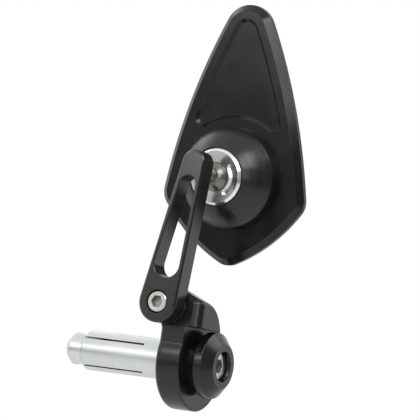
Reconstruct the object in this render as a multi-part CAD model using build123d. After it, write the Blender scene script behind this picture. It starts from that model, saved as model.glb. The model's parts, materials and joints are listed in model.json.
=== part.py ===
from build123d import *
import math
import os

# Bar end mirror. The bar's axis is X, outboard positive, and the bar's end face meets the base at X = 0.
# Z is up, and the glass faces +Y. All sizes are in millimetres and degrees.

# Expander plug inside the handlebar
PLUG_DIAMETER = 18.0
PLUG_REACH = 45.5
PLUG_CHAMFER = 1.6
PLUG_BORE = 11.0
PLUG_SPIGOT_DIAMETER = 14.0
PLUG_SPIGOT_LENGTH = 5.0
SLIT_LENGTH = 32.0
SLIT_WIDTH = 1.0
SLIT_TURN = 48.0
SLIT_PLANES = 2
WEDGE_DIAMETER = 14.4
WEDGE_PROUD = 8.5
WEDGE_NOSE = 2.4
WEDGE_LAND = 1.4
WEDGE_TAPER = 8.5
WEDGE_INSIDE = 6.5
WEDGE_GAP = 0.15

# Expander screw and its washer
BOLT_DIAMETER = 8.0
BOLT_LENGTH = 65.0
BOLT_HEAD_DIAMETER = 13.0
BOLT_HEAD_HEIGHT = 8.0
BOLT_KEY = 6.0
BOLT_KEY_DEPTH = 4.0
BOLT_EDGE = 0.8
BOLT_WASHER_THICKNESS = 1.6
BOLT_SUNK = 2.2

# Base: a ring on the bar end with a lug above it
RING_DIAMETER = 42.6
RING_WIDTH = 12.4
BASE_ROUND = 2.8
BASE_EDGE = 0.8
NECK_BLEND = 3.6
BASE_TURN = -6.0
LUG_FRONT = 20.0
LUG_DEPTH = 22.0
LUG_OUTBOARD = 19.0
LUG_SLOPE = 23.0
LUG_BACK_RADIUS = 17.0
LUG_BACK_CREST = 0.15
LUG_CORNER_ROUND = 4.3
LUG_NECK_ROUND = 5.0
LUG_CAP_GAP = 0.5
BOSS_DIAMETER = 17.6

# End cap
CAP_DIAMETER = 29.4
CAP_STANDOFF = 3.2
CAP_RIM = 4.0
CAP_NOSE = 4.1
CAP_FACE_DIAMETER = 19.8
CAP_REAR_CHAMFER = 0.4
CAP_RECESS_DIAMETER = 13.6
SPIGOT_DIAMETER = 22.0
SPIGOT_DEPTH = 3.5

# Arm and its pivot, placed on the base
PIVOT_X = 2.4
PIVOT_Z = 23.7
PIVOT_DIAMETER = 6.0
PIVOT_LENGTH = 16.0
PIVOT_HEAD_DIAMETER = 9.5
PIVOT_HEAD_HEIGHT = 6.0
PIVOT_KEY = 5.0
PIVOT_KEY_DEPTH = 3.0
PIVOT_EDGE = 0.5
PIVOT_HOLE_SPARE = 1.5
SPRING_WASHER_DIAMETER = 9.3
SPRING_WASHER_THICKNESS = 1.2
SPRING_WASHER_SPLIT = 0.8
FRICTION_WASHER_DIAMETER = 17.4
FRICTION_WASHER_THICKNESS = 0.6
ARM_LENGTH = 63.1
ARM_THICKNESS = 10.0
ARM_FOOT_DIAMETER = 18.3
ARM_TIP_DIAMETER = 11.0
ARM_EDGE = 0.8
ARM_LEAN = 7.0
ARM_HEAD_GAP = 0.4
SLOT_START = 10.9
SLOT_END = 56.9
SLOT_FOOT_WIDTH = 12.4
SLOT_TIP_WIDTH = 7.8
SLOT_EDGE = 0.3

# Ball stud in the arm's tip
STUD_BELOW_TIP = 3.2
STUD_SHANK_DIAMETER = 4.0
STUD_SHANK_LENGTH = 7.5
STUD_COLLAR_DIAMETER = 9.6
STUD_COLLAR_THICKNESS = 2.0
STUD_NECK_DIAMETER = 6.4
STUD_HOLE_SPARE = 0.3
BALL_DIAMETER = 14.0
BALL_STANDOFF = 15.6

# Ball socket on the mirror's back
SOCKET_DIAMETER = 45.4
SOCKET_WALL = 5.1
SOCKET_HEIGHT = 15.8
SOCKET_TOP_LAND = 0.6
SOCKET_BULGE = 0.9
BALL_DEPTH = 2.9
RING_NUT_DIAMETER = 25.6
RING_NUT_FLANGE = 2.2
RING_NUT_PROUD = 1.0
RING_NUT_EDGE = 1.2
RING_NUT_BARREL_DIAMETER = 22.4
RING_NUT_LENGTH = 4.1
RING_NUT_SPARE = 0.3
SPANNER_SLOT_COUNT = 2
SPANNER_SLOT_WIDTH = 2.8
SPANNER_SLOT_RADIUS = 8.6
SPANNER_SLOT_SPAN = 82.0
SPANNER_SLOT_DEPTH = 1.6
SPANNER_SLOT_TURN = -8.0
SEAT_WALL = 1.9
SEAT_RIM_DROP = 4.6

# Screws that hold the socket to the shell
SCREW_COUNT = 3
SCREW_START = 90.0
SCREW_DIAMETER = 4.0
SCREW_LENGTH = 10.0
SCREW_HEAD_DIAMETER = 7.5
SCREW_KEY = 2.5
SCREW_KEY_DEPTH = 1.4
SCREW_CIRCLE = 31.0
SCREW_HOLE_SPARE = 1.0

# Mirror shell, a kite with bowed sides, measured from the ball's height
KITE_TOP = 91.6
KITE_BOTTOM = 40.1
KITE_HALF_WIDTH = 35.95
KITE_SHOULDER = 10.3
KITE_SIDE_RADIUS = 277.5
KITE_LOWER_RADIUS = 79.0
KITE_TOP_ROUND = 12.3
KITE_SHOULDER_ROUND = 9.0
KITE_BOTTOM_ROUND = 9.0
SHELL_THICKNESS = 5.2
SHELL_BEVEL = 2.8
SHELL_RIM = 1.6
POCKET_DEPTH = 1.5
POCKET_SLOPE = 1.4
POCKET_BORDER = 6.4
POCKET_SOCKET_RADIUS = 27.0
POCKET_CORNER = 4.0

# Glass and its pad
GLASS_THICKNESS = 1.8
GLASS_GAP = 0.2
PAD_THICKNESS = 0.5
PAD_INSET = 1.2

# Clearances of the fits, all radial
RUNNING_GAP = 0.05
HOLE_GAP = 0.25
BALL_GAP = 0.15

# Plain geometry
HEXAGON_SIDES = 6
HALF_TURN = 180.0
FULL_TURN = 360.0

# Places worked out from the sizes above
plug_end = -PLUG_REACH
wedge_end = plug_end - WEDGE_PROUD
wedge_cone_start = wedge_end + WEDGE_NOSE + WEDGE_LAND
taper = math.tan(math.radians(WEDGE_TAPER))
mouth_radius = WEDGE_DIAMETER / 2 - (plug_end - wedge_cone_start) * taper + WEDGE_GAP
spigot_end = RING_WIDTH - SPIGOT_DEPTH
cap_rear = RING_WIDTH + CAP_STANDOFF
cap_front = cap_rear + CAP_RIM + CAP_NOSE
bolt_face = cap_front - BOLT_SUNK
bolt_seat = bolt_face - BOLT_HEAD_HEIGHT
recess_floor = bolt_seat - BOLT_WASHER_THICKNESS
lug_back = LUG_DEPTH - LUG_FRONT
lug_underside = CAP_DIAMETER / 2 + LUG_CAP_GAP
slope = math.radians(LUG_SLOPE)
shoulder_start_x = PIVOT_X + BOSS_DIAMETER / 2 * math.sin(slope)
shoulder_start_z = PIVOT_Z + BOSS_DIAMETER / 2 * math.cos(slope)
shoulder_end = shoulder_start_z - (LUG_OUTBOARD - shoulder_start_x) * math.tan(slope)
lug_face = -LUG_FRONT
arm_back = lug_face - FRICTION_WASHER_THICKNESS
arm_front = arm_back - ARM_THICKNESS
pivot_seat = arm_front + PIVOT_HEAD_HEIGHT
pivot_tip = pivot_seat + PIVOT_LENGTH
stud_along = ARM_LENGTH - STUD_BELOW_TIP
ring_face = -BALL_DEPTH
flange_seat = ring_face + RING_NUT_FLANGE
socket_top = ring_face + RING_NUT_PROUD
shell_back = socket_top + SOCKET_HEIGHT
shell_front = shell_back + SHELL_THICKNESS
recess_face = shell_front - GLASS_THICKNESS - PAD_THICKNESS
seat_radius = BALL_DIAMETER / 2 + BALL_GAP
cavity_radius = seat_radius + SEAT_WALL + BALL_GAP

# Frames: the base is turned on the bar, the arm leans on its pivot, the mirror head stands upright on the ball
base_frame = Rot(BASE_TURN, 0, 0)
arm_frame = base_frame * Pos(PIVOT_X, arm_back, PIVOT_Z) * Rot(0, ARM_LEAN, 0)
ball_centre = (arm_frame * Pos(0, BALL_STANDOFF, stud_along)).position
head_frame = Pos(*ball_centre)


def turned_on_bar(profile):
    """Solid of revolution about the bar's axis, from points of place along it and radius."""
    return revolve(make_face(Polyline(*profile, close=True)), axis=Axis.X)


def turned_on_depth(profile):
    """Solid of revolution about the Y axis, from points of radius and depth."""
    return revolve(make_face(Polyline(*profile, close=True)), axis=Axis.Y)


def slab(sketch, front, back):
    """Extrude a flat sketch, drawn with X across and Y up, along Y from one depth to another."""
    placed = Pos(0, front, 0) * (Plane.XZ * sketch)
    return extrude(placed, amount=back - front, dir=(0, 1, 0))


def rod(diameter, front, back, across=0, up=0):
    """Round bar along Y."""
    return slab(Pos(across, up) * Circle(diameter / 2), front, back)


def bar_rod(diameter, start, end):
    """Round bar along the handlebar's axis."""
    return extrude(Pos(start, 0, 0) * (Plane.YZ * Circle(diameter / 2)), amount=end - start)


def hexagon(key):
    """Hexagon with a given width across its flats."""
    return RegularPolygon(key / 2, HEXAGON_SIDES, major_radius=False)


def edges_at(solid, axis, place):
    """Edges that lie whole in one plane across an axis."""
    return solid.edges().filter_by_position(axis, place, place)


def expander_sleeve():
    outer = PLUG_DIAMETER / 2
    bore = PLUG_BORE / 2
    spigot = PLUG_SPIGOT_DIAMETER / 2
    sleeve = turned_on_bar([
        (plug_end, mouth_radius),
        (plug_end, outer - PLUG_CHAMFER),
        (plug_end + PLUG_CHAMFER, outer),
        (0, outer),
        (0, spigot),
        (PLUG_SPIGOT_LENGTH, spigot),
        (PLUG_SPIGOT_LENGTH, bore),
        (plug_end + (mouth_radius - bore) / taper, bore),
    ])
    slit = Pos(plug_end + SLIT_LENGTH / 2, 0, 0) * Box(SLIT_LENGTH, SLIT_WIDTH, PLUG_DIAMETER)
    for index in range(SLIT_PLANES):
        sleeve -= Rot(SLIT_TURN + index * HALF_TURN / SLIT_PLANES, 0, 0) * slit
    return sleeve


def wedge_nut():
    outer = WEDGE_DIAMETER / 2
    bore = BOLT_DIAMETER / 2 + RUNNING_GAP
    inner_end = plug_end + WEDGE_INSIDE
    return turned_on_bar([
        (wedge_end, bore),
        (wedge_end, outer - WEDGE_NOSE),
        (wedge_end + WEDGE_NOSE, outer),
        (wedge_cone_start, outer),
        (inner_end, outer - (inner_end - wedge_cone_start) * taper),
        (inner_end, bore),
    ])


def expander_bolt():
    head = BOLT_HEAD_DIAMETER / 2
    shank = BOLT_DIAMETER / 2
    tip = bolt_seat - BOLT_LENGTH
    bolt = turned_on_bar([
        (tip, 0),
        (tip, shank - BOLT_EDGE),
        (tip + BOLT_EDGE, shank),
        (bolt_seat, shank),
        (bolt_seat, head),
        (bolt_face - BOLT_EDGE, head),
        (bolt_face, head - BOLT_EDGE),
        (bolt_face, 0),
    ])
    socket = Pos(bolt_face, 0, 0) * (Plane.YZ * hexagon(BOLT_KEY))
    return bolt - extrude(socket, amount=-BOLT_KEY_DEPTH)


def bolt_washer():
    washer = bar_rod(BOLT_HEAD_DIAMETER, recess_floor, bolt_seat)
    return washer - bar_rod(BOLT_DIAMETER + 2 * HOLE_GAP, recess_floor, bolt_seat)


def end_cap():
    outer = CAP_DIAMETER / 2
    recess = CAP_RECESS_DIAMETER / 2
    hole = BOLT_DIAMETER / 2 + HOLE_GAP
    return turned_on_bar([
        (spigot_end, hole),
        (spigot_end, SPIGOT_DIAMETER / 2),
        (cap_rear, SPIGOT_DIAMETER / 2),
        (cap_rear, outer - CAP_REAR_CHAMFER),
        (cap_rear + CAP_REAR_CHAMFER, outer),
        (cap_rear + CAP_RIM, outer),
        (cap_front, CAP_FACE_DIAMETER / 2),
        (cap_front, recess),
        (recess_floor, recess),
        (recess_floor, hole),
    ])


def base_ring():
    """Ring on the bar end with the foot of the neck, its rims rounded."""
    neck = Pos(lug_back - LUG_DEPTH / 2, lug_underside / 2) * Rectangle(LUG_DEPTH, lug_underside)
    outline = Circle(RING_DIAMETER / 2) + neck
    valley = outline.vertices().filter_by_position(Axis.X, lug_face, lug_face).sort_by(Axis.Y)[0]
    outline = fillet(valley, NECK_BLEND)
    ring = extrude(Plane.YZ * outline, amount=RING_WIDTH)
    ring = fillet(edges_at(ring, Axis.X, 0), BASE_ROUND)
    return fillet(edges_at(ring, Axis.X, RING_WIDTH), BASE_EDGE)


def lug_outline():
    """Front view of the lug: a boss round the pivot, a sloping shoulder and the neck below."""
    boss = BOSS_DIAMETER / 2
    block = make_face(Polyline(
        (0, 0),
        (0, PIVOT_Z),
        (shoulder_start_x, shoulder_start_z),
        (LUG_OUTBOARD, shoulder_end),
        (LUG_OUTBOARD, lug_underside),
        (RING_WIDTH, lug_underside),
        (RING_WIDTH, 0),
        close=True,
    ))
    outline = block + Pos(PIVOT_X, PIVOT_Z) * Circle(boss)
    armpit = (0, PIVOT_Z - math.sqrt(boss**2 - PIVOT_X**2))
    return fillet(outline.vertices().sort_by_distance(armpit)[0], LUG_NECK_ROUND)


def lug_back_cut():
    """What is cut away above the lug's rounded back, drawn at the outboard face and run along the slope."""
    across = lug_back + LUG_BACK_CREST - LUG_BACK_RADIUS
    up = shoulder_end + LUG_BACK_CREST - LUG_BACK_RADIUS
    span = 2 * LUG_BACK_RADIUS
    corner = Pos(across, up) * Rectangle(span, span, align=(Align.MIN, Align.MIN))
    sketch = Pos(LUG_OUTBOARD, 0, 0) * (Plane.YZ * (corner - Pos(across, up) * Circle(LUG_BACK_RADIUS)))
    reach = LUG_OUTBOARD + BOSS_DIAMETER
    return extrude(sketch, amount=reach, dir=(-math.cos(slope), 0, math.sin(slope)), both=True)


def lug():
    """Block above the ring that carries the arm, with a rounded outboard corner, front edge and back."""
    block = slab(lug_outline(), lug_face, lug_back)
    corner = (LUG_OUTBOARD, lug_face, (shoulder_end + lug_underside) / 2)
    block = fillet(block.edges().sort_by_distance(corner)[0], LUG_CORNER_ROUND)
    neck_edge = (0, lug_face, lug_underside / 2)
    block = fillet(block.edges().sort_by_distance(neck_edge)[0], BASE_ROUND)
    return block - lug_back_cut()


def mount_base():
    body = base_ring() + lug()
    body -= bar_rod(PLUG_SPIGOT_DIAMETER + 2 * RUNNING_GAP, 0, PLUG_SPIGOT_LENGTH + HOLE_GAP)
    body -= bar_rod(BOLT_DIAMETER + 2 * HOLE_GAP, 0, RING_WIDTH)
    body -= bar_rod(SPIGOT_DIAMETER + 2 * RUNNING_GAP, spigot_end, RING_WIDTH)
    body -= rod(PIVOT_DIAMETER + 2 * RUNNING_GAP, lug_face, pivot_tip + PIVOT_HOLE_SPARE, PIVOT_X, PIVOT_Z)
    return base_frame * body


def friction_washer():
    washer = rod(FRICTION_WASHER_DIAMETER, arm_back, lug_face, PIVOT_X, PIVOT_Z)
    washer -= rod(PIVOT_DIAMETER + 2 * HOLE_GAP, arm_back, lug_face, PIVOT_X, PIVOT_Z)
    return base_frame * washer


def spring_washer():
    back = pivot_seat + SPRING_WASHER_THICKNESS
    washer = rod(SPRING_WASHER_DIAMETER, pivot_seat, back, PIVOT_X, PIVOT_Z)
    washer -= rod(PIVOT_DIAMETER + 2 * HOLE_GAP, pivot_seat, back, PIVOT_X, PIVOT_Z)
    gap = Rectangle(SPRING_WASHER_DIAMETER, SPRING_WASHER_SPLIT, align=(Align.MIN, Align.CENTER))
    return base_frame * (washer - slab(Pos(PIVOT_X, PIVOT_Z) * gap, pivot_seat, back))


def pivot_bolt():
    head = PIVOT_HEAD_DIAMETER / 2
    shank = PIVOT_DIAMETER / 2
    bolt = turned_on_depth([
        (0, arm_front),
        (head - PIVOT_EDGE, arm_front),
        (head, arm_front + PIVOT_EDGE),
        (head, pivot_seat),
        (shank, pivot_seat),
        (shank, pivot_tip - PIVOT_EDGE),
        (shank - PIVOT_EDGE, pivot_tip),
        (0, pivot_tip),
    ])
    bolt -= slab(hexagon(PIVOT_KEY), arm_front, arm_front + PIVOT_KEY_DEPTH)
    return base_frame * Pos(PIVOT_X, 0, PIVOT_Z) * bolt


def capsule(foot_diameter, foot_up, tip_diameter, tip_up):
    """Outline round two circles, one above the other."""
    foot = Pos(0, foot_up) * Circle(foot_diameter / 2)
    tip = Pos(0, tip_up) * Circle(tip_diameter / 2)
    return make_hull(foot.edges() + tip.edges())


def arm():
    body = slab(capsule(ARM_FOOT_DIAMETER, 0, ARM_TIP_DIAMETER, ARM_LENGTH), -ARM_THICKNESS, 0)
    body = chamfer(edges_at(body, Axis.Y, -ARM_THICKNESS) + edges_at(body, Axis.Y, 0), ARM_EDGE)
    slot_foot = SLOT_START + SLOT_FOOT_WIDTH / 2
    slot_tip = SLOT_END - SLOT_TIP_WIDTH / 2
    body -= slab(capsule(SLOT_FOOT_WIDTH, slot_foot, SLOT_TIP_WIDTH, slot_tip), -ARM_THICKNESS, 0)
    flats = body.faces().sort_by(Axis.Y)
    body = chamfer(flats[0].inner_wires().edges() + flats[-1].inner_wires().edges(), SLOT_EDGE)
    counterbore = PIVOT_HEAD_HEIGHT + SPRING_WASHER_THICKNESS - ARM_THICKNESS
    body -= rod(PIVOT_HEAD_DIAMETER + 2 * ARM_HEAD_GAP, -ARM_THICKNESS, counterbore)
    body -= rod(PIVOT_DIAMETER + 2 * RUNNING_GAP, -ARM_THICKNESS, 0)
    stud_floor = -STUD_SHANK_LENGTH - STUD_HOLE_SPARE
    body -= rod(STUD_SHANK_DIAMETER + 2 * RUNNING_GAP, stud_floor, 0, 0, stud_along)
    return arm_frame * body


def ball_stud():
    stud = rod(STUD_SHANK_DIAMETER, -STUD_SHANK_LENGTH, 0)
    stud += rod(STUD_COLLAR_DIAMETER, 0, STUD_COLLAR_THICKNESS)
    stud += rod(STUD_NECK_DIAMETER, 0, BALL_STANDOFF)
    stud += Pos(0, BALL_STANDOFF, 0) * Sphere(BALL_DIAMETER / 2)
    return arm_frame * Pos(0, 0, stud_along) * stud


def ball_seat():
    cup = Sphere(seat_radius + SEAT_WALL) - Sphere(seat_radius)
    cup -= rod(2 * cavity_radius, -cavity_radius, SEAT_RIM_DROP)
    return head_frame * cup


def retaining_ring():
    outer = RING_NUT_DIAMETER / 2
    barrel = RING_NUT_BARREL_DIAMETER / 2
    barrel_end = ring_face + RING_NUT_LENGTH
    ring = turned_on_depth([
        (0, ring_face),
        (outer - RING_NUT_EDGE, ring_face),
        (outer, ring_face + RING_NUT_EDGE),
        (outer, flange_seat),
        (barrel, flange_seat),
        (barrel, barrel_end),
        (0, barrel_end),
    ])
    ring -= Sphere(seat_radius)
    ring -= rod(2 * seat_radius, 0, barrel_end)
    for index in range(SPANNER_SLOT_COUNT):
        start = SPANNER_SLOT_TURN - SPANNER_SLOT_SPAN / 2 + index * FULL_TURN / SPANNER_SLOT_COUNT
        arc = CenterArc((0, 0), SPANNER_SLOT_RADIUS, start, SPANNER_SLOT_SPAN)
        ring -= slab(SlotArc(arc, SPANNER_SLOT_WIDTH), ring_face, ring_face + SPANNER_SLOT_DEPTH)
    return head_frame * ring


def socket_dome():
    outer = SOCKET_DIAMETER / 2
    ring_seat = RING_NUT_DIAMETER + 2 * RUNNING_GAP
    top = ring_seat / 2 + SOCKET_TOP_LAND
    shoulder = shell_back - SOCKET_WALL
    flank = SagittaArc((outer, shoulder), (top, socket_top), SOCKET_BULGE)
    rest = Polyline((top, socket_top), (0, socket_top), (0, shell_back), (outer, shell_back), (outer, shoulder))
    dome = revolve(make_face(flank + rest), axis=Axis.Y)
    barrel_end = ring_face + RING_NUT_LENGTH + RING_NUT_SPARE
    dome -= rod(ring_seat, socket_top, flange_seat)
    dome -= rod(RING_NUT_BARREL_DIAMETER + 2 * RUNNING_GAP, flange_seat, barrel_end)
    dome -= Sphere(cavity_radius)
    hole_end = recess_face - SCREW_LENGTH - SCREW_HOLE_SPARE
    for across, up in screw_places():
        dome -= rod(SCREW_DIAMETER + 2 * RUNNING_GAP, hole_end, shell_back, across, up)
    return head_frame * dome


def screw_places():
    """Where the socket's screws stand, as points across and up."""
    radius = SCREW_CIRCLE / 2
    angles = [math.radians(SCREW_START + index * FULL_TURN / SCREW_COUNT) for index in range(SCREW_COUNT)]
    return [(radius * math.cos(angle), radius * math.sin(angle)) for angle in angles]


def screw_blank(gap):
    """A countersunk screw's outer form, larger all round by a gap."""
    head = SCREW_HEAD_DIAMETER / 2 + gap
    shank = SCREW_DIAMETER / 2 + gap
    return turned_on_depth([
        (0, recess_face),
        (head, recess_face),
        (shank, recess_face - head + shank),
        (shank, recess_face - SCREW_LENGTH),
        (0, recess_face - SCREW_LENGTH),
    ])


def dome_screws():
    screw = screw_blank(0) - slab(hexagon(SCREW_KEY), recess_face - SCREW_KEY_DEPTH, recess_face)
    screws = [Pos(across, 0, up) * screw for across, up in screw_places()]
    return head_frame * Compound(children=screws)


def kite(inset=0):
    """Outline of the shell, or one set in from it: four bowed sides with rounded corners."""
    top = (0, KITE_TOP)
    right = (KITE_HALF_WIDTH, -KITE_SHOULDER)
    bottom = (0, -KITE_BOTTOM)
    left = (-KITE_HALF_WIDTH, -KITE_SHOULDER)
    sides = [
        RadiusArc(top, right, KITE_SIDE_RADIUS),
        RadiusArc(right, bottom, KITE_LOWER_RADIUS),
        RadiusArc(bottom, left, KITE_LOWER_RADIUS),
        RadiusArc(left, top, KITE_SIDE_RADIUS),
    ]
    outline = make_face(sides)
    if inset:
        outline = offset(outline, -inset, kind=Kind.INTERSECTION)
    shoulders = [right, left]
    rounds = [(top, KITE_TOP_ROUND), (bottom, KITE_BOTTOM_ROUND)]
    rounds += [(shoulder, KITE_SHOULDER_ROUND) for shoulder in shoulders]
    for corner, radius in rounds:
        if radius > inset:
            outline = fillet(outline.vertices().sort_by_distance(corner)[0], radius - inset)
    return outline


def pocket():
    """Outline of the shallow pocket above the socket, with rounded corners."""
    core = kite(POCKET_BORDER + POCKET_CORNER) - Circle(POCKET_SOCKET_RADIUS + POCKET_CORNER)
    outline = offset(core.faces().sort_by(Axis.Y)[-1], POCKET_CORNER)
    left = split(outline, Plane.YZ, keep=Keep.BOTTOM)
    return left + mirror(left, Plane.YZ)


def mirror_shell():
    plate = slab(kite(), shell_back, shell_front)
    plate = chamfer(edges_at(plate, Axis.Y, shell_back), SHELL_BEVEL)
    plate -= slab(kite(SHELL_RIM), recess_face, shell_front)
    for across, up in screw_places():
        plate -= Pos(across, 0, up) * screw_blank(HOLE_GAP)
    pocket_floor = shell_back + POCKET_DEPTH
    hollow = slab(pocket(), shell_back, pocket_floor)
    plate -= chamfer(edges_at(hollow, Axis.Y, pocket_floor), POCKET_SLOPE)
    return head_frame * plate


def glass_pad():
    outline = kite(SHELL_RIM + GLASS_GAP + PAD_INSET)
    return head_frame * slab(outline, recess_face, recess_face + PAD_THICKNESS)


def mirror_glass():
    outline = kite(SHELL_RIM + GLASS_GAP)
    return head_frame * slab(outline, recess_face + PAD_THICKNESS, shell_front)


PIECES = [
    expander_sleeve,
    wedge_nut,
    expander_bolt,
    bolt_washer,
    end_cap,
    mount_base,
    friction_washer,
    spring_washer,
    pivot_bolt,
    arm,
    ball_stud,
    ball_seat,
    retaining_ring,
    socket_dome,
    dome_screws,
    mirror_shell,
    glass_pad,
    mirror_glass,
]

os.makedirs("parts", exist_ok=True)
for piece in PIECES:
    export_step(piece(), f"parts/{piece.__name__}.step")
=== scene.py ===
import json
import math

import bmesh
import bpy
from bpy.props import FloatProperty, FloatVectorProperty, PointerProperty
from mathutils import Matrix, Vector


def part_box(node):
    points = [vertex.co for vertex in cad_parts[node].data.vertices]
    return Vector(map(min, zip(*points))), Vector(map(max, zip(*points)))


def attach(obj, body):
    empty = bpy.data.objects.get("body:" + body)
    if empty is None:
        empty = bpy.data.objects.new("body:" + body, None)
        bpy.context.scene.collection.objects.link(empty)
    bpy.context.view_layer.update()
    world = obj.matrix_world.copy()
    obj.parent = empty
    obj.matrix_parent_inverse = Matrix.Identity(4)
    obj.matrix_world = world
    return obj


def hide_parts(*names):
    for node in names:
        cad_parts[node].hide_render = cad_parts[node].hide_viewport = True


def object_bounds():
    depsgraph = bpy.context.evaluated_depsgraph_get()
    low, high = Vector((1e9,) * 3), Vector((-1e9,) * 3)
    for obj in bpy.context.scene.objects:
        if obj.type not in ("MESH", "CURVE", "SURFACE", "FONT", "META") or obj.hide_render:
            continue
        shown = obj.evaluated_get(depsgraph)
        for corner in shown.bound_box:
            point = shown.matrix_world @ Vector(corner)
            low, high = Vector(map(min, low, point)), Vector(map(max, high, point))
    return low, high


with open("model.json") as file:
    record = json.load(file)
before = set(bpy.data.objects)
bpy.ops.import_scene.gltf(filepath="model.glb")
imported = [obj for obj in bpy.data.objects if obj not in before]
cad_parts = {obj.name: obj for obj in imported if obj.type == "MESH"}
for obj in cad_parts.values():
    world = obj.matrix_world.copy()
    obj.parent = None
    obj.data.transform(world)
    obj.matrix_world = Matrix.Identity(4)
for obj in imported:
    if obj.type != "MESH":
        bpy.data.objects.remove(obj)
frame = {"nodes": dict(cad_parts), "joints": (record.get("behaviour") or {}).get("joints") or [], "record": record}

bl_info = {
    "name": "Bar End Mirror",
    "version": (1, 0, 0),
    "blender": (4, 5, 0),
    "location": "3D View > Sidebar > Bar End Mirror",
    "description": "Gives a bar end mirror its machined edges, threads, finishes and light",
    "category": "Object",
}

CAD_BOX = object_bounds()
JOINTS = {joint["name"]: joint for joint in frame["joints"]}
BODY_OF = {node: body for body, nodes in frame["record"]["behaviour"]["bodies"].items() for node in nodes}

BAR_AXIS = Vector((1, 0, 0))
DEPTH_AXIS = Vector((0, 1, 0))
UP = Vector((0, 0, 1))
BAR_CENTRE = Vector(JOINTS["bar_swivel"]["pos_m"])
BALL_CENTRE = Vector(JOINTS["head_tilt"]["pos_m"])
PIVOT_CENTRE = Vector(JOINTS["arm_swing"]["pos_m"])
PIVOT_AXIS = Vector(JOINTS["arm_swing"]["axis"]).normalized()

MERGE_DISTANCE = 1e-6
FLAT_ANGLE = math.radians(0.3)
EDGE_ANGLE = math.radians(22)
SHARP_ANGLE = math.radians(50)
BEVEL_SEGMENTS = 3
THREAD_STEPS = 28

# A thread's depth, half the width of its foot and crest, and its run-out at both ends, in pitches.
THREAD_DEPTH = 0.61
THREAD_FOOT = 0.48
THREAD_CREST = 0.06
THREAD_RUNOUT = 2.5
# Depths from the thread's crest to its foot, which lies a little inside the core.
THREAD_SINK = 1.15
# Points past this share of the step from shank to core belong to the core.
CORE_SHARE = 0.99

# Rounding on small screws and on thin sheets, as shares of the edge of larger pieces.
SCREW_EDGE_SHARE = 1 / 2
SHEET_EDGE_SHARE = 1 / 3

# Most of a noise pattern's values lie between these.
MASK_LOW = 0.3
MASK_HIGH = 0.7
# Where a Mix node has its first and second input and its output, for each kind.
MIX_PLACES = {"RGBA": (6, 7, 2), "FLOAT": (2, 3, 0)}
# Turn of the tangent, in full turns, for highlights that run across the marks.
STREAK_TURN = 0.25
# Scale of a brushing pattern along its lines.
BRUSH_STRETCH = 0.02
# Depth under a screw head's face where the painted shade and rougher steel of its key socket start, in metres.
KEY_SHADE_LIP = 0.00015

# Camera's sensor in millimetres, and the nearest distance that it shows, in metres.
SENSOR_WIDTH = 36
CLIP_START = 0.05


class MirrorFinishes(bpy.types.PropertyGroup):
    """Colours and roughness of the finishes."""

    shell_colour: FloatVectorProperty(
        name="Shell", description="Satin black of the mirror shell", subtype="COLOR",
        default=(0.0034, 0.0041, 0.0038))
    arm_colour: FloatVectorProperty(
        name="Arm", description="Brushed black of the arm", subtype="COLOR",
        default=(0.006, 0.006, 0.006))
    base_colour: FloatVectorProperty(
        name="Base and cap", description="Gloss black of the base and its cap", subtype="COLOR",
        default=(0.0065, 0.0068, 0.0069))
    socket_colour: FloatVectorProperty(
        name="Socket", description="Turned black of the ball socket", subtype="COLOR",
        default=(0.0035, 0.0035, 0.0035))
    aluminium_colour: FloatVectorProperty(
        name="Aluminium", description="Bare turned aluminium of the plug", subtype="COLOR",
        default=(0.72, 0.75, 0.73))
    steel_colour: FloatVectorProperty(
        name="Stainless steel", description="Screws and washers", subtype="COLOR",
        default=(0.62, 0.61, 0.58))
    chrome_colour: FloatVectorProperty(
        name="Polished steel", description="Retaining ring", subtype="COLOR",
        default=(0.90, 0.91, 0.90))
    stud_colour: FloatVectorProperty(
        name="Ball stud", description="Darker steel of the ball and its neck", subtype="COLOR",
        default=(0.22, 0.21, 0.19))
    # Painted shade: this darker steel colour stands for the shade inside the key sockets.
    socket_shade_colour: FloatVectorProperty(
        name="Key sockets", description="Dull steel inside the key sockets", subtype="COLOR",
        default=(0.36, 0.35, 0.31))
    seat_colour: FloatVectorProperty(
        name="Ball seat", description="Moulded plastic of the ball seat", subtype="COLOR",
        default=(0.62, 0.61, 0.57))
    pad_colour: FloatVectorProperty(
        name="Pad", description="Foam pad behind the glass", subtype="COLOR",
        default=(0.02, 0.02, 0.02))
    glass_colour: FloatVectorProperty(
        name="Glass", description="Silvering of the mirror glass", subtype="COLOR",
        default=(0.86, 0.89, 0.90))
    shell_roughness: FloatProperty(
        name="Shell roughness", description="Roughness of the shell", subtype="FACTOR", default=0.20,
        min=0, max=1)
    arm_roughness: FloatProperty(
        name="Arm roughness", description="Roughness of the arm", subtype="FACTOR", default=0.22, min=0,
        max=1)
    base_roughness: FloatProperty(
        name="Base roughness", description="Roughness of the base and cap", subtype="FACTOR",
        default=0.20, min=0, max=1)
    socket_roughness: FloatProperty(
        name="Socket roughness", description="Roughness of the turned socket", subtype="FACTOR",
        default=0.29, min=0, max=1)
    aluminium_roughness: FloatProperty(
        name="Aluminium roughness", description="Roughness of the plug", subtype="FACTOR", default=0.32,
        min=0, max=1)
    steel_roughness: FloatProperty(
        name="Steel roughness", description="Roughness of screws and washers", subtype="FACTOR",
        default=0.20, min=0, max=1)
    chrome_roughness: FloatProperty(
        name="Polished roughness", description="Roughness of the polished pieces", subtype="FACTOR",
        default=0.17, min=0, max=1)
    stud_roughness: FloatProperty(
        name="Ball stud roughness", description="Roughness of the ball and its neck", subtype="FACTOR",
        default=0.24, min=0, max=1)


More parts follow.
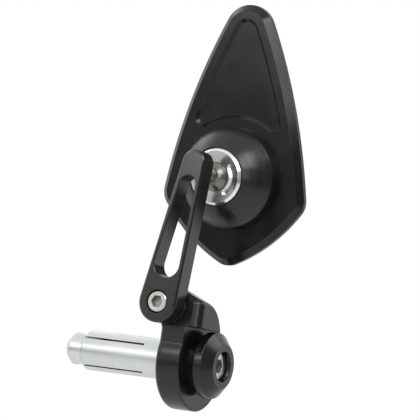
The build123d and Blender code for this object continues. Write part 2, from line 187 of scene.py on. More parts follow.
class MirrorDetails(bpy.types.PropertyGroup):
    """Edge rounding and thread sizes."""

    shell_edge: FloatProperty(
        name="Shell edge", description="Rounding of the shell's edges", unit="LENGTH", default=0.00025,
        precision=5)
    arm_edge: FloatProperty(
        name="Arm edge", description="Rounding of the arm's edges", unit="LENGTH", default=0.00012,
        precision=5)
    base_edge: FloatProperty(
        name="Base edge", description="Rounding of the base's edges", unit="LENGTH", default=0.00025,
        precision=5)
    turned_edge: FloatProperty(
        name="Turned edge", description="Rounding of edges on turned pieces", unit="LENGTH",
        default=0.0002, precision=5)
    socket_edge: FloatProperty(
        name="Socket edge", description="Rounding of the ball socket's edges", unit="LENGTH",
        default=0.0003, precision=5)
    slit_edge: FloatProperty(
        name="Slit edge", description="Rounding of the plug's slits and edges", unit="LENGTH",
        default=0.00012, precision=5)
    glass_edge: FloatProperty(
        name="Glass edge", description="Ground edge of the glass", unit="LENGTH", default=0.0003,
        precision=5)
    bar_thread_pitch: FloatProperty(
        name="Bar screw pitch", description="Thread pitch of the bar screw", unit="LENGTH",
        default=0.00125, precision=5)
    bar_thread_diameter: FloatProperty(
        name="Bar screw diameter", description="Thread diameter of the bar screw", unit="LENGTH",
        default=0.008)
    bar_thread_length: FloatProperty(
        name="Bar screw thread", description="Threaded length of the bar screw", unit="LENGTH",
        default=0.028)
    pivot_thread_pitch: FloatProperty(
        name="Pivot screw pitch", description="Thread pitch of the pivot screw", unit="LENGTH",
        default=0.001, precision=5)
    pivot_thread_diameter: FloatProperty(
        name="Pivot screw diameter", description="Thread diameter of the pivot screw", unit="LENGTH",
        default=0.006)
    pivot_thread_length: FloatProperty(
        name="Pivot screw thread", description="Threaded length of the pivot screw", unit="LENGTH",
        default=0.011)
    bar_key_radius: FloatProperty(
        name="Bar screw key", description="Radius round the bar screw's key socket", unit="LENGTH",
        default=0.0037, precision=5)
    pivot_key_radius: FloatProperty(
        name="Pivot screw key", description="Radius round the pivot screw's key socket", unit="LENGTH",
        default=0.0031, precision=5)
    # Depth that the key sockets' painted shade and rougher steel reach.
    key_shade_depth: FloatProperty(
        name="Key depth", description="Depth of the key sockets' dull steel", unit="LENGTH",
        default=0.0045, precision=5)


class MirrorStage(bpy.types.PropertyGroup):
    """Camera, floor and light."""

    azimuth: FloatProperty(
        name="Azimuth", description="Camera's turn round the object", subtype="ANGLE",
        default=math.radians(28))
    elevation: FloatProperty(
        name="Elevation", description="Camera's height angle", subtype="ANGLE", default=math.radians(1))
    roll: FloatProperty(
        name="Roll", description="Camera's turn on its own axis", subtype="ANGLE",
        default=math.radians(5.5))
    distance: FloatProperty(
        name="Distance", description="From the camera to the object", unit="LENGTH", default=1.6)
    field: FloatProperty(
        name="Field", description="Width that the picture takes in", unit="LENGTH", default=0.18667)
    shift_across: FloatProperty(
        name="Across", description="Picture centre to the right of the bar's axis", unit="LENGTH",
        default=0.01486)
    shift_up: FloatProperty(
        name="Up", description="Picture centre above the bar's axis", unit="LENGTH", default=0.06711)
    floor_drop: FloatProperty(
        name="Floor drop", description="Floor's depth below the object", unit="LENGTH", default=0.16)
    floor_colour: FloatVectorProperty(
        name="Floor colour", description="Pale grey of the floor", subtype="COLOR",
        default=(0.76, 0.76, 0.76))
    floor_size: FloatProperty(
        name="Floor size", description="Side of the floor", unit="LENGTH", default=2.0)
    room_light: FloatProperty(
        name="Room light", description="Brightness of the white room", default=0.88, min=0)
    gap_light: FloatProperty(
        name="Gap light", description="Brightness of the dark gaps between the white walls",
        default=0.25, min=0)
    wall_light: FloatProperty(
        name="Wall light", description="Brightness that the wall on the left adds", default=1.1, min=0)
    reflector_light: FloatProperty(
        name="Reflector", description="Brightness that a low reflector on the right adds", default=2.4,
        min=0)
    back_light: FloatProperty(
        name="Back light", description="Brightness that a high wall at the back right adds",
        default=1.6, min=0)
    softbox_distance: FloatProperty(
        name="Softbox distance", description="From each softbox to the object", unit="LENGTH",
        default=0.5)
    front_power: FloatProperty(
        name="Front softbox", description="Power of the high softbox in front", unit="POWER",
        default=0.8, min=0)
    front_width: FloatProperty(
        name="Front width", description="Width of the front softbox", unit="LENGTH", default=0.56)
    front_height: FloatProperty(
        name="Front height", description="Height of the front softbox", unit="LENGTH", default=0.09)
    front_edge: FloatProperty(
        name="Front edge", description="Front softbox's lower edge above the bar's axis", unit="LENGTH",
        default=0.19)
    front_azimuth: FloatProperty(
        name="Front azimuth", description="Front softbox's turn round the object", subtype="ANGLE",
        default=0)
    side_power: FloatProperty(
        name="Side softbox", description="Power of the softbox on the right", unit="POWER",
        default=2.0, min=0)
    side_width: FloatProperty(
        name="Side width", description="Width of the side softbox", unit="LENGTH", default=0.29)
    side_height: FloatProperty(
        name="Side height", description="Height of the side softbox", unit="LENGTH", default=0.5)
    side_edge: FloatProperty(
        name="Side edge", description="Side softbox's lower edge above the bar's axis", unit="LENGTH",
        default=0.31)
    side_azimuth: FloatProperty(
        name="Side azimuth", description="Side softbox's turn round the object", subtype="ANGLE",
        default=math.radians(50))


def joined_copy(node):
    """A bmesh copy of a CAD node, its loose triangles joined and its flat areas made single faces."""
    mesh = bmesh.new()
    mesh.from_mesh(frame["nodes"][node].data)
    bmesh.ops.remove_doubles(mesh, verts=mesh.verts, dist=MERGE_DISTANCE)
    bmesh.ops.dissolve_limit(mesh, angle_limit=FLAT_ANGLE, verts=mesh.verts, edges=mesh.edges)
    return mesh


def round_edges(mesh, width):
    """Round the sharp edges of a bmesh by a small width."""
    shared = [edge for edge in mesh.edges if len(edge.link_faces) == 2]
    sharp = [edge for edge in shared if edge.calc_face_angle() > EDGE_ANGLE]
    bmesh.ops.bevel(
        mesh, geom=sharp, offset=width, offset_type="OFFSET", segments=BEVEL_SEGMENTS, profile=0.5,
        affect="EDGES", clamp_overlap=True, material=-1)


def cut_thread(mesh, tip, axis, diameter, pitch, length):
    """Turn a screw's shank down to its core and wind a thread on it. The axis runs from tip to head."""
    depth = THREAD_DEPTH * pitch
    start = tip + axis * length
    for place in (start, start - axis * depth):
        geometry = mesh.verts[:] + mesh.edges[:] + mesh.faces[:]
        bmesh.ops.bisect_plane(mesh, geom=geometry, dist=MERGE_DISTANCE, plane_co=place, plane_no=axis)
    limit = (start - axis * depth * CORE_SHARE).dot(axis)
    core = [vert for vert in mesh.verts if vert.co.dot(axis) < limit]
    turn = axis.to_track_quat("Z", "Y").to_matrix().to_4x4()
    local = (Matrix.Translation(tip) @ turn).inverted()
    shrink = 1 - 2 * depth / diameter
    bmesh.ops.scale(mesh, vec=(shrink, shrink, 1), space=local, verts=core)
    side = turn.to_3x3() @ Vector((1, 0, 0))
    crest = diameter / 2
    foot = crest - THREAD_SINK * depth
    corners = [(foot, -THREAD_FOOT), (crest, -THREAD_CREST), (crest, THREAD_CREST), (foot, THREAD_FOOT)]
    first = tip + axis * pitch
    section = [mesh.verts.new(first + side * radius + axis * pitch * along) for radius, along in corners]
    face = mesh.faces.new(section)
    turns = int((length - THREAD_RUNOUT * pitch) / pitch)
    bmesh.ops.spin(
        mesh, geom=[face, *face.edges, *section], cent=tip, axis=axis, dvec=axis * pitch / THREAD_STEPS,
        angle=2 * math.pi * turns, steps=THREAD_STEPS * turns, use_duplicate=False)
    bmesh.ops.recalc_face_normals(mesh, faces=mesh.faces)


def place_piece(name, mesh, node, material):
    """Turn a bmesh into a smooth shaded piece that stands for a CAD node and rides on its body."""
    for face in mesh.faces:
        face.smooth = True
    data = bpy.data.meshes.new(name)
    mesh.to_mesh(data)
    mesh.free()
    data.set_sharp_from_angle(angle=SHARP_ANGLE)
    data.materials.append(material)
    piece = bpy.data.objects.new(name, data)
    bpy.context.scene.collection.objects.link(piece)
    normals = piece.modifiers.new("Even shading", "WEIGHTED_NORMAL")
    normals.keep_sharp = True
    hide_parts(node)
    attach(piece, BODY_OF[node])


def machined_piece(name, node, width, material):
    """Make a piece with the CAD node's shape and rounded edges."""
    mesh = joined_copy(node)
    round_edges(mesh, width)
    place_piece(name, mesh, node, material)


def new_group(name, inputs, outputs):
    """A shader node group with a vector input, float inputs with their defaults, and float outputs."""
    group = bpy.data.node_groups.new(name, "ShaderNodeTree")
    group.interface.new_socket(name="Vector", in_out="INPUT", socket_type="NodeSocketVector")
    for label, value in inputs.items():
        socket = group.interface.new_socket(name=label, in_out="INPUT", socket_type="NodeSocketFloat")
        socket.default_value = value
    for label in outputs:
        group.interface.new_socket(name=label, in_out="OUTPUT", socket_type="NodeSocketFloat")
    return group, group.nodes.new("NodeGroupInput"), group.nodes.new("NodeGroupOutput")


def add_math(tree, operation, first, second):
    """A math node whose inputs are sockets or numbers, as its output socket."""
    node = tree.nodes.new("ShaderNodeMath")
    node.operation = operation
    for socket, value in zip(node.inputs, (first, second)):
        if isinstance(value, (int, float)):
            socket.default_value = value
        else:
            tree.links.new(value, socket)
    return node.outputs[0]


def add_range(tree, value, low, high, to_low, to_high):
    """A smooth step of a value between two limits, as its output socket."""
    node = tree.nodes.new("ShaderNodeMapRange")
    node.interpolation_type = "SMOOTHSTEP"
    tree.links.new(value, node.inputs["Value"])
    limits = {"From Min": low, "From Max": high, "To Min": to_low, "To Max": to_high}
    for label, number in limits.items():
        node.inputs[label].default_value = number
    return node.outputs["Result"]


def add_patterns(group, vector, start, end, patterns):
    """Noise patterns in a group: for each, its output, the input that holds its size, and its detail."""
    for label, source, detail in patterns:
        node = group.nodes.new("ShaderNodeTexNoise")
        node.inputs["Detail"].default_value = detail
        scale = add_math(group, "DIVIDE", 1.0, start.outputs[source])
        group.links.new(vector, node.inputs["Vector"])
        group.links.new(scale, node.inputs["Scale"])
        group.links.new(node.outputs[0], end.inputs[label])


def split_round_axis(group, vector):
    """A vector's distance from the pattern's Z axis and its height along it, as sockets."""
    parts = group.nodes.new("ShaderNodeSeparateXYZ")
    group.links.new(vector, parts.inputs[0])
    across = add_math(group, "POWER", parts.outputs["X"], 2.0)
    up = add_math(group, "POWER", parts.outputs["Y"], 2.0)
    radius = add_math(group, "SQRT", add_math(group, "ADD", across, up), 0.0)
    return radius, parts.outputs["Z"]


def fine_grain_group():
    """Blasted and anodised grain: a fine height, a coarser mottle and soft handling marks."""
    name = "Fine grain"
    if name in bpy.data.node_groups:
        return bpy.data.node_groups[name]
    sizes = {"Grain": 0.0002, "Mottle": 0.004, "Marks": 0.03}
    group, start, end = new_group(name, sizes, ("Height", "Mottle", "Marks"))
    patterns = (("Height", "Grain", 3), ("Mottle", "Mottle", 4), ("Marks", "Marks", 5))
    add_patterns(group, start.outputs["Vector"], start, end, patterns)
    return group


def turning_marks_group():
    """Marks that a lathe leaves round the pattern's Z axis: fine grooves and broader bands."""
    name = "Turning marks"
    if name in bpy.data.node_groups:
        return bpy.data.node_groups[name]
    group, start, end = new_group(name, {"Spacing": 0.0001, "Bands": 0.002}, ("Height", "Bands"))
    radius, height = split_round_axis(group, start.outputs["Vector"])
    section = group.nodes.new("ShaderNodeCombineXYZ")
    group.links.new(radius, section.inputs["X"])
    group.links.new(height, section.inputs["Y"])
    add_patterns(group, section.outputs[0], start, end, (("Height", "Spacing", 2), ("Bands", "Bands", 3)))
    return group


def key_socket_shade_group():
    """Mask of the painted shade in a key socket: what lies near the pattern's Z axis, from a lip below its origin
    to a depth.
    """
    name = "Key socket"
    if name in bpy.data.node_groups:
        return bpy.data.node_groups[name]
    group, start, end = new_group(name, {"Radius": 0.003, "Lip": 0.0002, "Depth": 0.004}, ("Mask",))
    radius, height = split_round_axis(group, start.outputs["Vector"])
    down = add_math(group, "MULTIPLY", height, -1.0)
    inside = add_math(group, "LESS_THAN", radius, start.outputs["Radius"])
    under = add_math(group, "GREATER_THAN", down, start.outputs["Lip"])
    above = add_math(group, "LESS_THAN", down, start.outputs["Depth"])
    mask = add_math(group, "MULTIPLY", inside, add_math(group, "MULTIPLY", under, above))
    group.links.new(mask, end.inputs["Mask"])
    return group


def brushing_group():
    """Straight brushing along the pattern's Z axis: fine lines and soft streaks."""
    name = "Brushing"
    if name in bpy.data.node_groups:
        return bpy.data.node_groups[name]
    group, start, end = new_group(name, {"Lines": 0.0001, "Streaks": 0.001}, ("Height", "Streaks"))
    stretch = group.nodes.new("ShaderNodeMapping")
    stretch.inputs["Scale"].default_value = (1, 1, BRUSH_STRETCH)
    group.links.new(start.outputs["Vector"], stretch.inputs["Vector"])
    add_patterns(group, stretch.outputs[0], start, end, (("Height", "Lines", 2), ("Streaks", "Streaks", 3)))
    return group


def shade(colour, factor):
    """A colour made lighter or darker."""
    return tuple(channel * factor for channel in colour)


class Finish:
    """A material under construction, with its pattern coordinates and shader."""

    def __init__(self, name, centre, axis):
        self.material = bpy.data.materials.new(name)
        self.material.use_nodes = True
        self.tree = self.material.node_tree
        self.shader = self.tree.nodes["Principled BSDF"]
        self.coordinates = self.tree.nodes.new("ShaderNodeTexCoord")
        turn = axis.to_track_quat("Z", "Y").inverted()
        mapping = self.tree.nodes.new("ShaderNodeMapping")
        mapping.inputs["Rotation"].default_value = turn.to_euler()
        mapping.inputs["Location"].default_value = -(turn @ centre)
        self.tree.links.new(self.coordinates.outputs["Object"], mapping.inputs["Vector"])
        self.vector = mapping.outputs[0]
        self.centre = centre
        self.axis = axis

    def set(self, **values):
        """Set plain values on the shader's own sockets."""
        for label, value in values.items():
            self.shader.inputs[label.replace("_", " ")].default_value = value

    def effect(self, group, **values):
        """Place a shared effect in the material with its own values."""
        node = self.tree.nodes.new("ShaderNodeGroup")
        node.node_tree = group
        self.tree.links.new(self.vector, node.inputs["Vector"])
        for label, value in values.items():
            node.inputs[label].default_value = value
        return node

    def colour(self, mask, colour, darker, lighter):
        """Vary a colour between a darker and a lighter shade by a mask."""
        first, second, result = MIX_PLACES["RGBA"]
        mix = self.tree.nodes.new("ShaderNodeMix")
        mix.data_type = "RGBA"
        spread = add_range(self.tree, mask, MASK_LOW, MASK_HIGH, 0.0, 1.0)
        self.tree.links.new(spread, mix.inputs[0])
        mix.inputs[first].default_value = (*shade(colour, darker), 1)
        mix.inputs[second].default_value = (*shade(colour, lighter), 1)
        self.tree.links.new(mix.outputs[result], self.shader.inputs["Base Color"])

    def roughness(self, mask, middle, below, above):
        """Vary the roughness about a middle value by a mask."""
        spread = add_range(self.tree, mask, MASK_LOW, MASK_HIGH, middle - below, middle + above)
        self.tree.links.new(spread, self.shader.inputs["Roughness"])

    def bump(self, height, depth, strength):
        """Raise the surface by a height pattern."""
        node = self.tree.nodes.new("ShaderNodeBump")
        node.inputs["Strength"].default_value = strength
        node.inputs["Distance"].default_value = depth
        self.tree.links.new(height, node.inputs["Height"])
        self.tree.links.new(node.outputs[0], self.shader.inputs["Normal"])

    def paint_shade(self, mask, colour, roughness):
        """Give what a mask covers another colour and roughness, to paint shade there."""
        for label, kind, value in (("Base Color", "RGBA", (*colour, 1)), ("Roughness", "FLOAT", roughness)):
            first, second, result = MIX_PLACES[kind]
            mix = self.tree.nodes.new("ShaderNodeMix")
            mix.data_type = kind
            self.tree.links.new(mask, mix.inputs[0])
            self.tree.links.new(self.shader.inputs[label].links[0].from_socket, mix.inputs[first])
            mix.inputs[second].default_value = value
            self.tree.links.new(mix.outputs[result], self.shader.inputs[label])

    def streak_round_axis(self, amount):
        """Stretch highlights as marks round the pattern's axis do."""
        self.set(Anisotropic=amount, Anisotropic_Rotation=STREAK_TURN)
        offset = self.tree.nodes.new("ShaderNodeVectorMath")
        offset.operation = "SUBTRACT"
        self.tree.links.new(self.coordinates.outputs["Object"], offset.inputs[0])
        offset.inputs[1].default_value = self.centre
        cross = self.tree.nodes.new("ShaderNodeVectorMath")
        cross.operation = "CROSS_PRODUCT"
        cross.inputs[0].default_value = self.axis
        self.tree.links.new(offset.outputs[0], cross.inputs[1])
        turn = self.tree.nodes.new("ShaderNodeVectorTransform")
        turn.vector_type = "VECTOR"
        turn.convert_from = "OBJECT"
        turn.convert_to = "WORLD"
        self.tree.links.new(cross.outputs[0], turn.inputs[0])
        self.tree.links.new(turn.outputs[0], self.shader.inputs["Tangent"])


def anodised_shell(finishes):
    """Satin black with a fine blasted grain."""
    finish = Finish("Back plate satin black", BALL_CENTRE, UP)
    grain = finish.effect(fine_grain_group(), Grain=0.00018, Mottle=0.006, Marks=0.025)
    finish.colour(grain.outputs["Mottle"], finishes.shell_colour, darker=0.85, lighter=1.15)
    finish.roughness(grain.outputs["Marks"], finishes.shell_roughness, below=0.05, above=0.05)
    finish.bump(grain.outputs["Height"], depth=0.00001, strength=0.3)
    finish.set(Specular_IOR_Level=0.42)
    return finish.material


def brushed_arm(finishes):
    """Black with brushing across the arm."""
    finish = Finish("Arm brushed black", PIVOT_CENTRE, BAR_AXIS)
    brushing = finish.effect(brushing_group(), Lines=0.0002, Streaks=0.0006)
    grain = finish.effect(fine_grain_group(), Grain=0.0002, Mottle=0.004, Marks=0.02)
    finish.colour(brushing.outputs["Streaks"], finishes.arm_colour, darker=0.8, lighter=1.25)
    finish.roughness(grain.outputs["Marks"], finishes.arm_roughness, below=0.04, above=0.05)
    finish.bump(brushing.outputs["Height"], depth=0.00002, strength=0.4)
    finish.set(Specular_IOR_Level=0.62)
    return finish.material


def gloss_black(name, centre, axis, finishes):
    """Gloss black with faint turning marks and handling marks."""
    finish = Finish(name, centre, axis)
    turning = finish.effect(turning_marks_group(), Spacing=0.00015, Bands=0.0015)
    grain = finish.effect(fine_grain_group(), Grain=0.0003, Mottle=0.005, Marks=0.015)
    finish.colour(grain.outputs["Mottle"], finishes.base_colour, darker=0.8, lighter=1.2)
    finish.roughness(grain.outputs["Marks"], finishes.base_roughness, below=0.03, above=0.04)
    finish.bump(turning.outputs["Height"], depth=0.000002, strength=0.2)
    finish.set(Specular_IOR_Level=0.5)
    return finish.material


def turned_black(finishes):
    """Turned black with streaked highlights round the ball's axis."""
    finish = Finish("Socket turned black", BALL_CENTRE, DEPTH_AXIS)
    turning = finish.effect(turning_marks_group(), Spacing=0.00014, Bands=0.0012)
    finish.colour(turning.outputs["Bands"], finishes.socket_colour, darker=0.75, lighter=1.25)
    finish.roughness(turning.outputs["Bands"], finishes.socket_roughness, below=0.05, above=0.05)
    finish.bump(turning.outputs["Height"], depth=0.00001, strength=0.3)
    finish.streak_round_axis(amount=0.6)
    finish.set(Specular_IOR_Level=0.6)
    return finish.material


def turned_finish(name, centre, axis, colour, roughness, streak, depth):
    """Bare turned metal, with marks of a depth and highlights streaked by them."""
    finish = Finish(name, centre, axis)
    turning = finish.effect(turning_marks_group(), Spacing=0.00016, Bands=0.0018)
    grain = finish.effect(fine_grain_group(), Grain=0.0003, Mottle=0.004, Marks=0.012)
    finish.colour(turning.outputs["Bands"], colour, darker=0.975, lighter=1.015)
    finish.roughness(grain.outputs["Marks"], roughness, below=0.25 * roughness, above=0.3 * roughness)
    finish.bump(turning.outputs["Height"], depth, strength=0.3)
    finish.streak_round_axis(streak)
    finish.set(Metallic=1.0)
    return finish


def socket_head_steel(name, face, axis, key_radius, key_shade_depth, finishes):
    """Steel of a screw whose key socket gets painted shade: a darker colour, and rougher steel. The axis points
    out of the head's face.
    """
    finish = turned_finish(
        name, face, axis, finishes.steel_colour, finishes.steel_roughness, streak=0.4, depth=0.000005)
    socket = finish.effect(key_socket_shade_group(), Radius=key_radius, Lip=KEY_SHADE_LIP, Depth=key_shade_depth)
    # Painted shade: the key socket is darkened where shade falls in the recess, and its steel is made rougher.
    finish.paint_shade(socket.outputs["Mask"], finishes.socket_shade_colour, roughness=0.5)
    return finish.material


def moulded_plastic(finishes):
    """Pale moulded plastic."""
    finish = Finish("Ball cup plastic", BALL_CENTRE, DEPTH_AXIS)
    grain = finish.effect(fine_grain_group(), Grain=0.00025, Mottle=0.003, Marks=0.01)
    finish.colour(grain.outputs["Mottle"], finishes.seat_colour, darker=0.93, lighter=1)
    finish.roughness(grain.outputs["Marks"], middle=0.49, below=0.07, above=0.07)
    finish.bump(grain.outputs["Height"], depth=0.00002, strength=0.4)
    return finish.material


def foam_pad(finishes):
    """Dark foam with open cells."""
    finish = Finish("Pad foam", BALL_CENTRE, DEPTH_AXIS)
    grain = finish.effect(fine_grain_group(), Grain=0.0006, Mottle=0.002, Marks=0.01)
    finish.colour(grain.outputs["Height"], finishes.pad_colour, darker=0.6, lighter=1.5)
    finish.roughness(grain.outputs["Mottle"], middle=0.875, below=0.075, above=0.075)
    finish.bump(grain.outputs["Height"], depth=0.00015, strength=0.6)
    return finish.material


def silvered_glass(finishes):
    """Mirror glass with faint wiping marks."""
    finish = Finish("Mirror silvering", BALL_CENTRE, DEPTH_AXIS)
    grain = finish.effect(fine_grain_group(), Grain=0.0008, Mottle=0.01, Marks=0.03)
    finish.colour(grain.outputs["Marks"], finishes.glass_colour, darker=0.97, lighter=1)
    finish.roughness(grain.outputs["Marks"], middle=0.02, below=0.012, above=0.015)
    finish.set(Metallic=1.0, Coat_Weight=0.4, Coat_Roughness=0.02)
    return finish.material


class BARMIRROR_OT_shell(bpy.types.Operator):
    """Make the mirror shell with softened edges and a satin finish"""

    bl_idname = "bar_mirror.shell"
    bl_label = "Mirror shell"

    def execute(self, context):
        scene = context.scene
        edge = scene.mirror_details.shell_edge
        material = anodised_shell(scene.mirror_finishes)
        machined_piece("shell_plate", "mirror_shell", edge, material)
        return {"FINISHED"}


class BARMIRROR_OT_glass(bpy.types.Operator):
    """Make the mirror glass with its ground edge, and the pad behind it"""

    bl_idname = "bar_mirror.glass"
    bl_label = "Glass and pad"

    def execute(self, context):
        scene = context.scene
        finishes = scene.mirror_finishes
        edge = scene.mirror_details.glass_edge
        machined_piece("glass_plate", "mirror_glass", edge, silvered_glass(finishes))
        thin_edge = edge * SHEET_EDGE_SHARE
        machined_piece("glass_foam", "glass_pad", thin_edge, foam_pad(finishes))
        return {"FINISHED"}


class BARMIRROR_OT_socket(bpy.types.Operator):
    """Make the turned ball socket"""

    bl_idname = "bar_mirror.socket"
    bl_label = "Ball socket"

    def execute(self, context):
        scene = context.scene
        edge = scene.mirror_details.socket_edge
        material = turned_black(scene.mirror_finishes)
        machined_piece("socket_housing", "socket_dome", edge, material)
        return {"FINISHED"}


class BARMIRROR_OT_ball(bpy.types.Operator):
    """Make the ball stud, its seat and the retaining ring"""

    bl_idname = "bar_mirror.ball"
    bl_label = "Ball, seat and ring"

    def execute(self, context):
        scene = context.scene
        finishes = scene.mirror_finishes
        edge = scene.mirror_details.turned_edge
        polished = turned_finish(
            "Ring polished steel", BALL_CENTRE, DEPTH_AXIS, finishes.chrome_colour,
            finishes.chrome_roughness, streak=0.2, depth=0.000003)
        stud = turned_finish(
            "Stud steel", BALL_CENTRE, PIVOT_AXIS, finishes.stud_colour,
            finishes.stud_roughness, streak=0.3, depth=0.000003)
        machined_piece("ring_nut", "retaining_ring", edge, polished.material)
        machined_piece("ball_and_neck", "ball_stud", edge, stud.material)
        machined_piece("ball_cup", "ball_seat", edge, moulded_plastic(finishes))
        return {"FINISHED"}


class BARMIRROR_OT_arm(bpy.types.Operator):
    """Make the slotted arm with its brushed face"""

    bl_idname = "bar_mirror.arm"
    bl_label = "Arm"

    def execute(self, context):
        scene = context.scene
        edge = scene.mirror_details.arm_edge
        material = brushed_arm(scene.mirror_finishes)
        machined_piece("slotted_arm", "arm", edge, material)
        return {"FINISHED"}


class BARMIRROR_OT_base(bpy.types.Operator):
    """Make the base with its lug, and the turned end cap"""

    bl_idname = "bar_mirror.base"
    bl_label = "Base and cap"

    def execute(self, context):
        scene = context.scene
        finishes = scene.mirror_finishes
        details = scene.mirror_details
        base = gloss_black("Base gloss black", BAR_CENTRE, BAR_AXIS, finishes)
        cap = gloss_black("Cap gloss black", BAR_CENTRE, BAR_AXIS, finishes)
        machined_piece("base_and_lug", "mount_base", details.base_edge, base)
        machined_piece("cap_turned", "end_cap", details.turned_edge, cap)
        return {"FINISHED"}


class BARMIRROR_OT_plug(bpy.types.Operator):
    """Make the slit sleeve and its wedge in bare turned aluminium"""

    bl_idname = "bar_mirror.plug"
    bl_label = "Expander plug"

    def execute(self, context):
        scene = context.scene
        finishes = scene.mirror_finishes
        edge = scene.mirror_details.slit_edge
        for name, node in (("sleeve_slit", "expander_sleeve"), ("wedge_turned", "wedge_nut")):
            metal = turned_finish(
                f"Aluminium {node}", BAR_CENTRE, BAR_AXIS, finishes.aluminium_colour,
                finishes.aluminium_roughness, streak=0.4, depth=0.000002)
            machined_piece(name, node, edge, metal.material)
        return {"FINISHED"}


class BARMIRROR_OT_screws(bpy.types.Operator):
    """Make the threaded bar screw and pivot screw, the socket screws and the washers"""

    bl_idname = "bar_mirror.screws"
    bl_label = "Screws and washers"

    def execute(self, context):
        scene = context.scene
        finishes = scene.mirror_finishes
        details = scene.mirror_details
        edge = details.turned_edge
        screw_edge = edge * SCREW_EDGE_SHARE
        sheet_edge = edge * SHEET_EDGE_SHARE
        low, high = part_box("expander_bolt")
        tip = Vector((low.x, 0, 0))
        face = Vector((high.x, 0, 0))
        bar_steel = socket_head_steel(
            "Steel on the bar", face, BAR_AXIS, details.bar_key_radius, details.key_shade_depth, finishes)
        bar_screw = joined_copy("expander_bolt")
        round_edges(bar_screw, edge)
        cut_thread(
            bar_screw, tip, BAR_AXIS, details.bar_thread_diameter, details.bar_thread_pitch,
            details.bar_thread_length)
        place_piece("bar_screw", bar_screw, "expander_bolt", bar_steel)

        pivot_screw = joined_copy("pivot_bolt")
        along = [(vert.co - PIVOT_CENTRE).dot(PIVOT_AXIS) for vert in pivot_screw.verts]
        tip = PIVOT_CENTRE + PIVOT_AXIS * max(along)
        face = PIVOT_CENTRE + PIVOT_AXIS * min(along)
        pivot_steel = socket_head_steel(
            "Steel on the pivot", face, -PIVOT_AXIS, details.pivot_key_radius, details.key_shade_depth, finishes)
        round_edges(pivot_screw, edge)
        cut_thread(
            pivot_screw, tip, -PIVOT_AXIS, details.pivot_thread_diameter, details.pivot_thread_pitch,
            details.pivot_thread_length)
        place_piece("pivot_screw", pivot_screw, "pivot_bolt", pivot_steel)

        socket_steel = turned_finish(
            "Steel in the socket", BALL_CENTRE, DEPTH_AXIS, finishes.steel_colour,
            finishes.steel_roughness, streak=0.2, depth=0.000005)
        machined_piece("socket_screws", "dome_screws", screw_edge, socket_steel.material)
        machined_piece("bar_screw_washer", "bolt_washer", screw_edge, bar_steel)
        machined_piece("pivot_spring_washer", "spring_washer", screw_edge, pivot_steel)
        machined_piece(
            "pivot_friction_washer", "friction_washer", sheet_edge, pivot_steel)
        return {"FINISHED"}


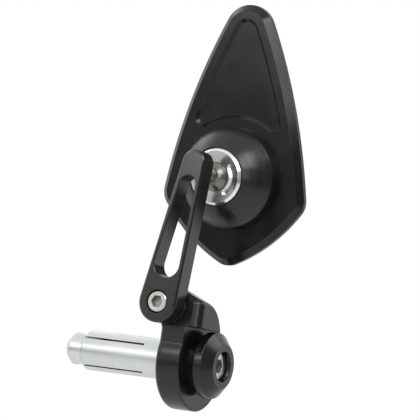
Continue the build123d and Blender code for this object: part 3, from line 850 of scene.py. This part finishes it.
class BARMIRROR_OT_stage(bpy.types.Operator):
    """Set the camera, the pale floor, the white room and the softboxes"""

    bl_idname = "bar_mirror.stage"
    bl_label = "Stage"

    def execute(self, context):
        scene = context.scene
        stage = scene.mirror_stage
        scene.view_settings.view_transform = "Standard"
        self.set_camera(scene, stage)
        self.lay_floor(scene, stage)
        self.light_room(scene, stage)
        front = self.hang_softbox(
            scene, "front_softbox", stage.front_width, stage.front_height, stage.front_power)
        self.place_softbox(front, stage.front_azimuth, stage.softbox_distance, stage.front_edge)
        side = self.hang_softbox(
            scene, "side_softbox", stage.side_width, stage.side_height, stage.side_power)
        self.place_softbox(side, stage.side_azimuth, stage.softbox_distance, stage.side_edge)
        return {"FINISHED"}

    def set_camera(self, scene, stage):
        """Put the camera where the photograph was taken from."""
        round_object = Matrix.Rotation(stage.azimuth, 3, "Z")
        tip_down = Matrix.Rotation(math.pi / 2 - stage.elevation, 3, "X")
        turn = round_object @ tip_down @ Matrix.Rotation(stage.roll, 3, "Z")
        place = turn @ Vector((stage.shift_across, stage.shift_up, stage.distance))
        lens = bpy.data.cameras.new("camera")
        lens.sensor_width = SENSOR_WIDTH
        lens.lens = SENSOR_WIDTH * stage.distance / stage.field
        lens.clip_start = CLIP_START
        camera = bpy.data.objects.new("camera", lens)
        camera.matrix_world = Matrix.Translation(place) @ turn.to_4x4()
        scene.collection.objects.link(camera)
        scene.camera = camera

    def lay_floor(self, scene, stage):
        """Lay a pale floor below the object."""
        mesh = bmesh.new()
        bmesh.ops.create_grid(mesh, x_segments=1, y_segments=1, size=stage.floor_size / 2)
        bmesh.ops.translate(mesh, vec=(0, 0, CAD_BOX[0].z - stage.floor_drop), verts=mesh.verts)
        data = bpy.data.meshes.new("floor")
        mesh.to_mesh(data)
        mesh.free()
        paper = Finish("Floor paper", Vector(), UP)
        grain = paper.effect(fine_grain_group(), Grain=0.001, Mottle=0.05, Marks=0.3)
        paper.colour(grain.outputs["Mottle"], stage.floor_colour, darker=0.9934, lighter=1.0066)
        paper.roughness(grain.outputs["Marks"], middle=0.9, below=0.05, above=0.05)
        data.materials.append(paper.material)
        floor = bpy.data.objects.new("floor", data)
        scene.collection.objects.link(floor)

    def hang_softbox(self, scene, name, width, height, power):
        """A softbox of a size and power, not yet placed."""
        light = bpy.data.lights.new(name, "AREA")
        light.shape = "RECTANGLE"
        light.size = width
        light.size_y = height
        light.energy = power
        lamp = bpy.data.objects.new(name, light)
        scene.collection.objects.link(lamp)
        return lamp

    def place_softbox(self, lamp, azimuth, distance, edge):
        """Stand a softbox upright at a turn round the object, its lower edge at a height."""
        back = Vector((math.sin(azimuth), -math.cos(azimuth), 0))
        lamp.location = back * distance + UP * (edge + lamp.data.size_y / 2)
        lamp.rotation_mode = "QUATERNION"
        lamp.rotation_quaternion = back.to_track_quat("Z", "Y")

    def light_room(self, scene, stage):
        """A white room: dark gaps at the horizon and on the right, brighter walls and a low reflector."""
        world = bpy.data.worlds.new("white room")
        world.use_nodes = True
        scene.world = world
        tree = world.node_tree
        direction = tree.nodes.new("ShaderNodeTexCoord").outputs["Generated"]
        parts = tree.nodes.new("ShaderNodeSeparateXYZ")
        tree.links.new(direction, parts.inputs[0])
        level = parts.outputs["Z"]

        def patch(azimuth, sides, bottom, top):
            """Mask of a patch of the room, from its direction and the limits where it fades."""
            node = tree.nodes.new("ShaderNodeVectorMath")
            node.operation = "DOT_PRODUCT"
            node.inputs[1].default_value = (math.sin(azimuth), -math.cos(azimuth), 0)
            tree.links.new(direction, node.inputs[0])
            across = add_range(tree, node.outputs["Value"], *sides, 0.0, 1.0)
            above = add_range(tree, level, *bottom, 0.0, 1.0)
            below = add_range(tree, level, *top, 1.0, 0.0)
            return add_math(tree, "MULTIPLY", across, add_math(tree, "MULTIPLY", above, below))

        horizon = patch(
            azimuth=math.radians(-24), sides=(0.58, 0.66), bottom=(-0.16, -0.11), top=(-0.05, 0.10))
        corner = patch(
            azimuth=math.radians(80), sides=(0.68, 0.78), bottom=(-1.2, -1.1), top=(0.55, 0.72))
        wall = patch(
            azimuth=math.radians(-110), sides=(0.6, 0.85), bottom=(0.25, 0.5), top=(0.84, 0.95))
        reflector = patch(
            azimuth=math.radians(40), sides=(0.955, 0.985), bottom=(0.02, 0.08), top=(0.20, 0.28))
        back = patch(
            azimuth=math.radians(130), sides=(0.6, 0.7), bottom=(0.58, 0.68), top=(0.9, 0.98))
        gap = add_math(tree, "MAXIMUM", horizon, corner)
        room = add_range(tree, gap, 0.0, 1.0, stage.room_light, stage.gap_light)
        for mask, light in (
                (wall, stage.wall_light), (reflector, stage.reflector_light), (back, stage.back_light)):
            room = add_math(tree, "ADD", room, add_math(tree, "MULTIPLY", mask, light))
        seen = tree.nodes.new("ShaderNodeLightPath").outputs["Is Camera Ray"]
        strength = add_math(tree, "MAXIMUM", room, seen)
        tree.links.new(strength, tree.nodes["Background"].inputs["Strength"])
        tree.nodes["Background"].inputs["Color"].default_value = (1, 1, 1, 1)


class BARMIRROR_PT_panel(bpy.types.Panel):
    """Lists the mirror's pieces, finishes, details and stage"""

    bl_idname = "BARMIRROR_PT_panel"
    bl_label = "Bar End Mirror"
    bl_space_type = "VIEW_3D"
    bl_region_type = "UI"
    bl_category = "Bar End Mirror"

    def draw(self, context):
        layout = self.layout
        for operator in OPERATORS:
            layout.operator(operator.bl_idname)
        scene = context.scene
        for group in (scene.mirror_finishes, scene.mirror_details, scene.mirror_stage):
            box = layout.box()
            for label in group.__annotations__:
                box.prop(group, label)


OPERATORS = (
    BARMIRROR_OT_shell,
    BARMIRROR_OT_glass,
    BARMIRROR_OT_socket,
    BARMIRROR_OT_ball,
    BARMIRROR_OT_arm,
    BARMIRROR_OT_base,
    BARMIRROR_OT_plug,
    BARMIRROR_OT_screws,
    BARMIRROR_OT_stage,
)
CLASSES = (MirrorFinishes, MirrorDetails, MirrorStage, *OPERATORS, BARMIRROR_PT_panel)


def register():
    for cls in CLASSES:
        bpy.utils.register_class(cls)
    bpy.types.Scene.mirror_finishes = PointerProperty(type=MirrorFinishes)
    bpy.types.Scene.mirror_details = PointerProperty(type=MirrorDetails)
    bpy.types.Scene.mirror_stage = PointerProperty(type=MirrorStage)


def unregister():
    del bpy.types.Scene.mirror_stage
    del bpy.types.Scene.mirror_details
    del bpy.types.Scene.mirror_finishes
    for cls in reversed(CLASSES):
        bpy.utils.unregister_class(cls)


def main():
    register()
    bpy.ops.bar_mirror.shell()
    bpy.ops.bar_mirror.glass()
    bpy.ops.bar_mirror.socket()
    bpy.ops.bar_mirror.ball()
    bpy.ops.bar_mirror.arm()
    bpy.ops.bar_mirror.base()
    bpy.ops.bar_mirror.plug()
    bpy.ops.bar_mirror.screws()
    bpy.ops.bar_mirror.stage()


if __name__ == "__main__":
    main()
